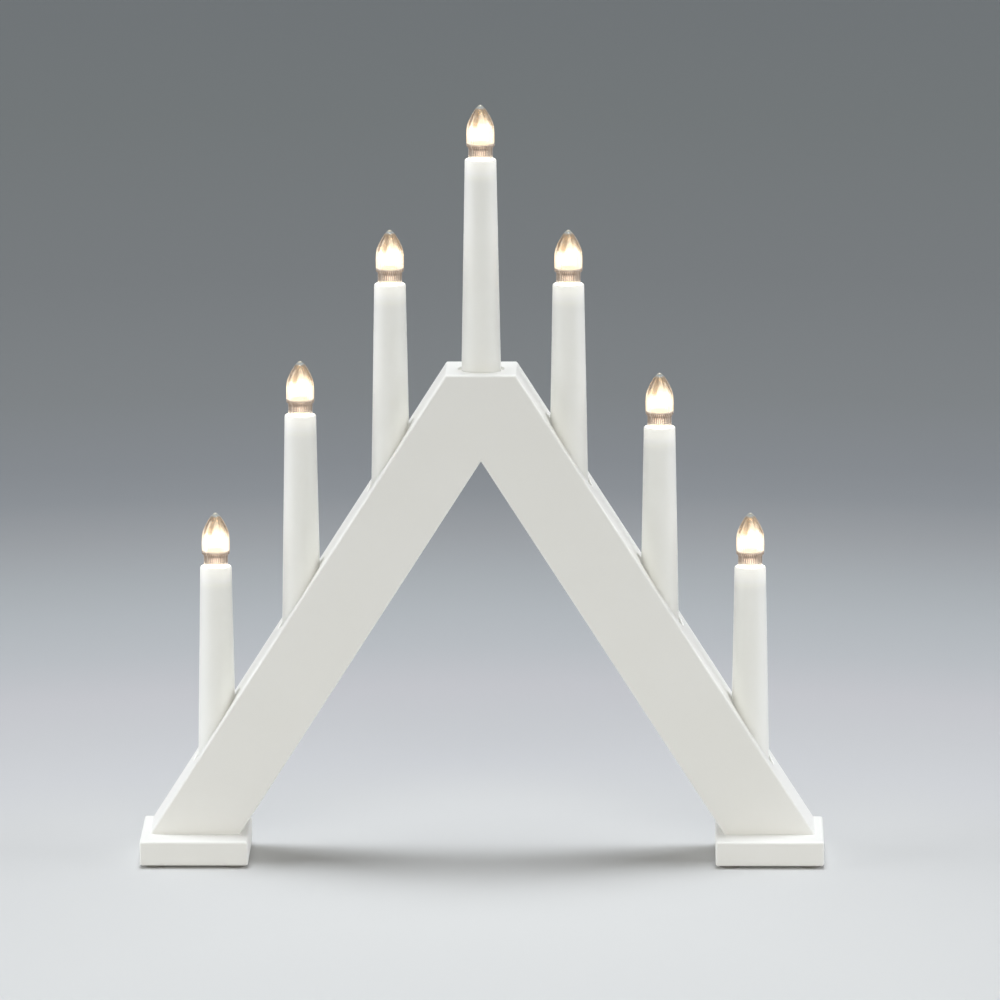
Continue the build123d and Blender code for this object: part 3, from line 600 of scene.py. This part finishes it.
def turned_tree():
    """Turns a half outline into a round body with ridges: flutes, or a thread when they climb."""
    tree, given = new_tree("turned_with_ridges", (
        ("Rows", "NodeSocketInt"), ("Sides", "NodeSocketInt"), ("Ridges Round", "NodeSocketInt"),
        ("Ridge Climb", "NodeSocketFloat"), ("Ridge Depth", "NodeSocketFloat"),
        ("Valley Softness", "NodeSocketFloat"), ("Inside Out", "NodeSocketBool"),
        ("Place", "NodeSocketVector"), ("Material", "NodeSocketMaterial"),
    ))
    outline = add(tree, "GeometryNodeMeshToCurve", {"Mesh": given["Geometry"]})
    curved = add(tree, "GeometryNodeCurveSplineType", {"Curve": outline}, spline_type="CATMULL_ROM")
    # A sheet of points, in rows along the outline and in columns round the axis
    columns = add(tree, "ShaderNodeMath", given["Sides"], 1, operation="ADD")
    sheet = add(tree, "GeometryNodeMeshGrid", {"Vertices X": given["Rows"], "Vertices Y": columns})
    index = add(tree, "GeometryNodeInputIndex")
    centred = add(tree, "ShaderNodeMath", index, 0.5, operation="ADD")
    rows_passed = add(tree, "ShaderNodeMath", centred, columns, operation="DIVIDE")
    row = add(tree, "ShaderNodeMath", rows_passed, operation="FLOOR")
    row_start = add(tree, "ShaderNodeMath", row, columns, operation="MULTIPLY")
    column = add(tree, "ShaderNodeMath", index, row_start, operation="SUBTRACT")
    last_row = add(tree, "ShaderNodeMath", given["Rows"], 1, operation="SUBTRACT")
    along = add(tree, "ShaderNodeMath", row, last_row, operation="DIVIDE")
    ridged = add(tree, "GeometryNodeInputNamedAttribute", {"Name": "ridged"}, data_type="FLOAT")
    sample = add(tree, "GeometryNodeSampleCurve", {
        "Curves": curved, "Value": ridged, "Factor": along,
    }, mode="FACTOR", data_type="FLOAT", use_all_curves=True)
    point = add(tree, "ShaderNodeSeparateXYZ", {"Vector": sample.outputs["Position"]}).outputs
    turn = add(tree, "ShaderNodeMath", column, given["Sides"], operation="DIVIDE")
    climbed = add(tree, "ShaderNodeMath", point["Z"], given["Ridge Climb"], operation="MULTIPLY")
    phase = add(tree, "ShaderNodeMath", turn, given["Ridges Round"], climbed, operation="MULTIPLY_ADD")
    # A rounded ridge with a softened valley between each two, from 0 in a valley to 1 on a ridge
    half_turns = add(tree, "ShaderNodeMath", phase, math.pi, operation="MULTIPLY")
    swing = add(tree, "ShaderNodeMath", half_turns, operation="COSINE")
    soft = given["Valley Softness"]
    soft_square = add(tree, "ShaderNodeMath", soft, soft, operation="MULTIPLY")
    square = add(tree, "ShaderNodeMath", swing, swing, soft_square, operation="MULTIPLY_ADD")
    rounded = add(tree, "ShaderNodeMath", square, operation="SQRT")
    highest_square = add(tree, "ShaderNodeMath", soft, soft, 1, operation="MULTIPLY_ADD")
    highest = add(tree, "ShaderNodeMath", highest_square, operation="SQRT")
    over_valley = add(tree, "ShaderNodeMath", rounded, soft, operation="SUBTRACT")
    full_rise = add(tree, "ShaderNodeMath", highest, soft, operation="SUBTRACT")
    ridge = add(tree, "ShaderNodeMath", over_valley, full_rise, operation="DIVIDE")
    # The outline lies on the ridges, and the valleys are cut into it
    ridge_share = sample.outputs["Value"]
    depth = add(tree, "ShaderNodeMath", ridge_share, given["Ridge Depth"], operation="MULTIPLY")
    under_ridge = add(tree, "ShaderNodeMath", 1, ridge, operation="SUBTRACT")
    cut = add(tree, "ShaderNodeMath", depth, under_ridge, operation="MULTIPLY")
    radius = add(tree, "ShaderNodeMath", point["X"], cut, operation="SUBTRACT")
    angle = add(tree, "ShaderNodeMath", turn, 2 * math.pi, operation="MULTIPLY")
    cosine = add(tree, "ShaderNodeMath", angle, operation="COSINE")
    sine = add(tree, "ShaderNodeMath", angle, operation="SINE")
    spot = add(tree, "ShaderNodeCombineXYZ", {
        "X": add(tree, "ShaderNodeMath", radius, cosine, operation="MULTIPLY"),
        "Y": add(tree, "ShaderNodeMath", radius, sine, operation="MULTIPLY"),
        "Z": point["Z"],
    })
    shaped = add(tree, "GeometryNodeSetPosition", {"Geometry": sheet, "Position": spot})
    closed = add(tree, "GeometryNodeMergeByDistance", {
        "Geometry": shaped, "Distance": MERGE_DISTANCE * MM,
    })
    own_place = add(tree, "GeometryNodeInputPosition")
    marked = add(tree, "GeometryNodeStoreNamedAttribute", {
        "Geometry": closed, "Name": "lamp_spot", "Value": own_place,
    }, data_type="FLOAT_VECTOR", domain="POINT")
    turned_over = add(tree, "GeometryNodeFlipFaces", {
        "Mesh": marked, "Selection": given["Inside Out"],
    })
    placed = add(tree, "GeometryNodeSetPosition", {"Geometry": turned_over, "Offset": given["Place"]})
    return close_tree(tree, placed, given["Material"])


def coil_tree():
    """Winds a wire in a close coil along a half circle that stands on its two ends."""
    tree, given = new_tree("coiled_wire_arch", (
        ("Turns", "NodeSocketInt"), ("Steps a Turn", "NodeSocketInt"),
        ("Arch Radius", "NodeSocketFloat"), ("Arch Foot", "NodeSocketFloat"),
        ("Coil Radius", "NodeSocketFloat"), ("Wire Radius", "NodeSocketFloat"),
        ("Place", "NodeSocketVector"), ("Material", "NodeSocketMaterial"),
    ))
    steps = given["Steps a Turn"]
    count = add(tree, "ShaderNodeMath", given["Turns"], steps, 1, operation="MULTIPLY_ADD")
    line = add(tree, "GeometryNodeMeshLine", {"Count": count})
    index = add(tree, "GeometryNodeInputIndex")
    last = add(tree, "ShaderNodeMath", count, 1, operation="SUBTRACT")
    along = add(tree, "ShaderNodeMath", index, last, operation="DIVIDE")
    left = add(tree, "ShaderNodeMath", 1, along, operation="SUBTRACT")
    arch = add(tree, "ShaderNodeMath", left, math.pi, operation="MULTIPLY")
    turns_passed = add(tree, "ShaderNodeMath", along, given["Turns"], operation="MULTIPLY")
    wind = add(tree, "ShaderNodeMath", turns_passed, 2 * math.pi, operation="MULTIPLY")
    coil, middle = given["Coil Radius"], given["Arch Radius"]
    outwards = add(tree, "ShaderNodeMath", wind, operation="COSINE")
    reach = add(tree, "ShaderNodeMath", coil, outwards, middle, operation="MULTIPLY_ADD")
    across = add(tree, "ShaderNodeMath", arch, operation="COSINE")
    upwards = add(tree, "ShaderNodeMath", arch, operation="SINE")
    backwards = add(tree, "ShaderNodeMath", wind, operation="SINE")
    foot = given["Arch Foot"]
    spot = add(tree, "ShaderNodeCombineXYZ", {
        "X": add(tree, "ShaderNodeMath", reach, across, operation="MULTIPLY"),
        "Y": add(tree, "ShaderNodeMath", coil, backwards, operation="MULTIPLY"),
        "Z": add(tree, "ShaderNodeMath", reach, upwards, foot, operation="MULTIPLY_ADD"),
    })
    wound = add(tree, "GeometryNodeSetPosition", {
        "Geometry": line, "Position": spot, "Offset": given["Place"],
    })
    path = add(tree, "GeometryNodeMeshToCurve", {"Mesh": wound})
    section = add(tree, "GeometryNodeCurvePrimitiveCircle", {
        "Resolution": 6, "Radius": given["Wire Radius"],
    })
    wire = add(tree, "GeometryNodeCurveToMesh", {
        "Curve": path, "Profile Curve": section, "Fill Caps": True,
    })
    return close_tree(tree, wire, given["Material"])


def drawn_wire_tree():
    """Draws a round wire along a path of a few points."""
    tree, given = new_tree("drawn_wire", (
        ("Wire Radius", "NodeSocketFloat"), ("Place", "NodeSocketVector"),
        ("Material", "NodeSocketMaterial"),
    ))
    path = add(tree, "GeometryNodeMeshToCurve", {"Mesh": given["Geometry"]})
    bent = add(tree, "GeometryNodeCurveSplineType", {"Curve": path}, spline_type="CATMULL_ROM")
    section = add(tree, "GeometryNodeCurvePrimitiveCircle", {
        "Resolution": 10, "Radius": given["Wire Radius"],
    })
    wire = add(tree, "GeometryNodeCurveToMesh", {
        "Curve": bent, "Profile Curve": section, "Fill Caps": True,
    })
    placed = add(tree, "GeometryNodeSetPosition", {"Geometry": wire, "Offset": given["Place"]})
    return close_tree(tree, placed, given["Material"])


def line_mesh(name, points, ridged=None):
    """An open line of points in millimetres, as edges, with the ridge share of each point."""
    mesh = bpy.data.meshes.new(name)
    edges = [(i, i + 1) for i in range(len(points) - 1)]
    mesh.from_pydata([Vector(point) * MM for point in points], edges, [])
    if ridged:
        shares = mesh.attributes.new("ridged", "FLOAT", "POINT")
        shares.data.foreach_set("value", ridged)
    return mesh


def outline_mesh(name, outline):
    """A half outline as a line in the XZ plane."""
    points = [(radius, 0, height) for radius, height, _ in outline]
    return line_mesh(name, points, [float(share) for _, _, share in outline])


def run_tree(name, tree, start_mesh, values):
    """Runs a geometry tree over a mesh and returns the result as a plain mesh."""
    holder = bpy.data.objects.new(name, start_mesh)
    scene.collection.objects.link(holder)
    modifier = holder.modifiers.new(tree.name, "NODES")
    modifier.node_group = tree
    for item in tree.interface.items_tree:
        if item.in_out == "INPUT" and item.name in values:
            modifier[item.identifier] = values[item.name]
    depsgraph = bpy.context.evaluated_depsgraph_get()
    plain = bpy.data.meshes.new_from_object(holder.evaluated_get(depsgraph), depsgraph=depsgraph)
    bpy.data.objects.remove(holder)
    plain.name = name
    return plain


def join_meshes(name, meshes):
    """One object at the origin from several meshes, keeping each one's material and shading."""
    joined = bmesh.new()
    materials = []
    for mesh in meshes:
        first = len(joined.faces)
        joined.from_mesh(mesh)
        joined.faces.ensure_lookup_table()
        for face in joined.faces[first:]:
            material = mesh.materials[face.material_index]
            if material not in materials:
                materials.append(material)
            face.material_index = materials.index(material)
    result = bpy.data.meshes.new(name)
    joined.to_mesh(result)
    joined.free()
    for material in materials:
        result.materials.append(material)
    piece = bpy.data.objects.new(name, result)
    scene.collection.objects.link(piece)
    return piece


# Finishes of the plain pieces

painted = {
    "left_leg": satin_paint("satin_paint_left_leg", -LEG_SLOPE),
    "right_leg": satin_paint("satin_paint_right_leg", LEG_SLOPE),
    "feet": satin_paint("satin_paint_feet", 0),
}
splice_nylon, _ = soft_moulding(
    "splice_nylon", pale="D8D8D2", dark="CFCFC8", roughness=0.5, grain_mm=0.5, depth_mm=0.02,
)
holder_resin, _ = soft_moulding(
    "holder_resin", pale="DAD8CE", dark="D0CEC3", roughness=0.55, grain_mm=0.6, depth_mm=0.03,
)
wire_pvc, _ = soft_moulding(
    "wire_pvc", pale="E8E8E2", dark="DEDED8", roughness=0.5, grain_mm=0.4, depth_mm=0.01,
)
grommet_pvc, _ = soft_moulding(
    "grommet_soft_pvc", pale="E2E2DE", dark="D8D8D3", roughness=0.6, grain_mm=0.5, depth_mm=0.02,
)
brass = pressed_brass()

finishes = {
    "left_leg": painted["left_leg"],
    "left_groove_cover": painted["left_leg"],
    "right_leg": painted["right_leg"],
    "right_groove_cover": painted["right_leg"],
    "left_foot": painted["feet"],
    "right_foot": painted["feet"],
    "mitre_dowels": turned_beech(),
    "foot_pads": pressed_felt(),
    "cover_screws": zinc_plated_steel(),
    "cord_grommet": grommet_pvc,
    "link_wires": wire_pvc,
    "supply_wires": wire_pvc,
    "wire_splices": splice_nylon,
    "holder_springs": brass,
}
finishes["foot_screws"] = finishes["cover_screws"]
for place in PLACES:
    low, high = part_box("sleeve_" + place)
    axis = ((low.x + high.x) / 2, (low.y + high.y) / 2, 0)
    finishes["sleeve_" + place] = candle_plastic(place, axis, high.z)
    finishes["holder_" + place] = holder_resin
    finishes["holder_shell_" + place] = brass
for name, material in finishes.items():
    nodes[name].material_slots[0].material = material


# Lamps

turned = turned_tree()
coiled = coil_tree()
drawn = drawn_wire_tree()
glass_outside = fluted_glass()
glass_inside = lit_inner_wall()
stem_glass = stem_glass_lit()
tungsten = glowing_tungsten()
lead_nickel = nickel_lead()
cap_nickel = nickel_plate()
cap_glass = black_cap_glass()
cap_solder = solder()


def turn_outline(name, outline, place, material, rows, sides, inside_out=False, **ridges):
    """Turns an outline at a place; `ridges` gives the ridges' inputs of the turned tree by name."""
    values = {"Ridges Round": 1, "Ridge Climb": 0.0, "Ridge Depth": 0.0, "Valley Softness": 0.3}
    values.update({label.replace("_", " "): value for label, value in ridges.items()})
    values.update({
        "Rows": rows, "Sides": sides, "Inside Out": inside_out, "Place": place, "Material": material,
    })
    return run_tree(name, turned, outline_mesh(name, outline), values)


for place in PLACES:
    low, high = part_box("lamp_glass_" + place)
    seat = Vector(((low.x + high.x) / 2, (low.y + high.y) / 2, high.z - LAMP_HEIGHT * MM))
    body = "lamp_" + place

    glass = join_meshes("fluted_glass_" + place, [
        turn_outline("outside", GLASS_OUTSIDE, seat, glass_outside, rows=96, sides=FLUTE_COUNT * 6,
                     Ridges_Round=FLUTE_COUNT, Ridge_Depth=FLUTE_DEPTH * MM, Valley_Softness=0.25),
        turn_outline("inside", GLASS_INSIDE, seat, glass_inside, rows=64, sides=96, inside_out=True),
    ])
    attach(glass, body)
    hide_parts("lamp_glass_" + place)

    # The stem's top is pinched flat, so it has two shallow sides
    stem = join_meshes("glass_stem_" + place, [
        turn_outline("stem", STEM_OUTLINE, seat, stem_glass, rows=40, sides=48,
                     Ridges_Round=2, Ridge_Depth=STEM_PINCH * MM, Valley_Softness=0.6),
    ])
    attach(stem, body)

    wires = [run_tree("coil", coiled, bpy.data.meshes.new("start"), {
        "Turns": COIL_TURNS, "Steps a Turn": COIL_STEPS_A_TURN,
        "Arch Radius": COIL_ARCH_RADIUS * MM, "Arch Foot": COIL_ARCH_FOOT * MM,
        "Coil Radius": COIL_RADIUS * MM, "Wire Radius": COIL_WIRE_RADIUS * MM,
        "Place": seat, "Material": tungsten,
    })]
    for side in (-1, 1):
        path = line_mesh("lead", [(side * x, y, z) for x, y, z in LEAD_PATH])
        wires.append(run_tree("lead", drawn, path, {
            "Wire Radius": LEAD_RADIUS * MM, "Place": seat, "Material": lead_nickel,
        }))
    filament = join_meshes("filament_" + place, wires)
    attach(filament, body)
    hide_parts("lamp_filament_" + place)

    cap = join_meshes("screw_cap_" + place, [
        turn_outline("thread", CAP_OUTLINE, seat, cap_nickel, rows=90, sides=64,
                     Ridge_Climb=1 / (THREAD_PITCH * MM), Ridge_Depth=THREAD_DEPTH * MM,
                     Valley_Softness=0.8),
        turn_outline("insulator", INSULATOR_OUTLINE, seat, cap_glass, rows=12, sides=48),
        turn_outline("contact", CONTACT_OUTLINE, seat, cap_solder, rows=10, sides=32),
    ])
    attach(cap, body)
    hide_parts("lamp_cap_" + place)


# Floor, light and camera, in metres

FLOOR_SIZE = 24
PALE_CENTRE = (0, -0.35, 0)
PALE_REACH = 3.0
# Colours of the floor, a painted fall of light, by share of the pale reach from its centre
FLOOR_STOPS = (
    (0.07, "D5D5D3"), (0.157, "CDCDCC"), (0.185, "C7C7C8"), (0.213, "C1C1C2"), (0.243, "BCBBBD"),
    (0.274, "B0B2B4"), (0.306, "A7AAAC"), (0.34, "9B9EA0"), (0.375, "8D8F91"), (0.412, "7C7F82"),
    (0.441, "75787B"), (0.51, "6C6F70"), (0.641, "626566"), (0.845, "5A5E5E"), (1.0, "565A5B"),
)
# The camera stands almost 5 m before the arch and looks down on it by about 12 degrees
CAMERA_PLACE = (0.0928, -4.9756, 1.2328)


def floor_paper():
    """Matt studio paper with a painted fall of light: pale under and before the object, and grey further
    back.
    """
    material, shader = new_material("studio_paper", Roughness=0.9)
    tree = material.node_tree
    place = add(tree, "ShaderNodeTexCoord").outputs["Object"]
    reach = add(tree, "ShaderNodeVectorMath", place, PALE_CENTRE, operation="DISTANCE")
    share = add(tree, "ShaderNodeMapRange", {"Value": reach, "From Min": 0.0, "From Max": PALE_REACH})
    ramp = add(tree, "ShaderNodeValToRGB", {"Fac": share})
    for reached, code in FLOOR_STOPS[1:-1]:
        ramp.color_ramp.elements.new(reached)
    for element, (reached, code) in zip(ramp.color_ramp.elements, FLOOR_STOPS):
        element.position = reached
        element.color = hex_colour(code)
    feed(tree, shader, {"Base Color": ramp})
    return material


bpy.ops.mesh.primitive_plane_add(size=FLOOR_SIZE)
floor = bpy.context.object
floor.name = "studio_floor"
floor.data.materials.append(floor_paper())
floor.visible_glossy = False


def sun(name, azimuth, elevation, width, strength, colour):
    """A wide soft lamp far away; azimuth 0 is the front and 90 the right, angles in degrees."""
    light = bpy.data.lights.new(name, "SUN")
    light.angle = math.radians(width)
    light.energy = strength * math.pi
    light.color = hex_colour(colour)[:3]
    lamp = bpy.data.objects.new(name, light)
    scene.collection.objects.link(lamp)
    turn, tilt = math.radians(azimuth), math.radians(elevation)
    towards = Vector((math.sin(turn) * math.cos(tilt), -math.cos(turn) * math.cos(tilt), math.sin(tilt)))
    lamp.rotation_mode = "QUATERNION"
    lamp.rotation_quaternion = towards.to_track_quat("Z", "Y")


sun("overhead_softbox", azimuth=180, elevation=84, width=13, strength=0.205, colour="F4F9FF")
sun("overhead_diffuser", azimuth=180, elevation=80, width=26, strength=0.548, colour="F4F9FF")
sun("front_softbox", azimuth=0, elevation=15, width=60, strength=0.335, colour="FFFCF2")
sun("left_softbox", azimuth=-88, elevation=8, width=50, strength=0.61, colour="F6F9FF")
sun("right_softbox", azimuth=88, elevation=8, width=50, strength=0.5, colour="F6F9FF")

# White walls close the studio in: they fill the shadows a little, and gloss reflects them
world = bpy.data.worlds.new("studio")
scene.world = world
world.use_nodes = True
sky = world.node_tree
sky.nodes.clear()
ray = add(sky, "ShaderNodeLightPath").outputs
seen, through_glass = ray["Is Camera Ray"], ray["Is Transmission Ray"]
looked = add(sky, "ShaderNodeMath", seen, through_glass, operation="MAXIMUM")
fill = add(sky, "ShaderNodeBackground", {"Color": hex_colour("FFFFFF"), "Strength": 0.1})
walls = add(sky, "ShaderNodeBackground", {"Color": hex_colour("FFFFFF"), "Strength": 0.7})
backdrop = add(sky, "ShaderNodeBackground", {"Color": hex_colour("707476"), "Strength": 1.0})
lit = add(sky, "ShaderNodeMixShader", ray["Is Glossy Ray"], fill, walls)
chosen = add(sky, "ShaderNodeMixShader", looked, lit, backdrop)
add(sky, "ShaderNodeOutputWorld", {"Surface": chosen})

camera = bpy.data.cameras.new("photo_camera")
camera.sensor_width = 36.0
camera.lens = 367.68
camera.clip_end = 60.0
eye = bpy.data.objects.new("photo_camera", camera)
scene.collection.objects.link(eye)
pitch, yaw, roll = math.radians(11.922), math.radians(0.962), math.radians(-0.176)
ahead = Vector((-math.sin(yaw) * math.cos(pitch), math.cos(yaw) * math.cos(pitch), -math.sin(pitch)))
level = Vector((math.cos(yaw), math.sin(yaw), 0))
right = math.cos(roll) * level + math.sin(roll) * level.cross(ahead)
up = right.cross(ahead)
facing = Matrix((right, up, -ahead)).transposed().to_4x4()
eye.matrix_world = Matrix.Translation(CAMERA_PLACE) @ facing
scene.camera = eye

scene.view_settings.view_transform = "Standard"
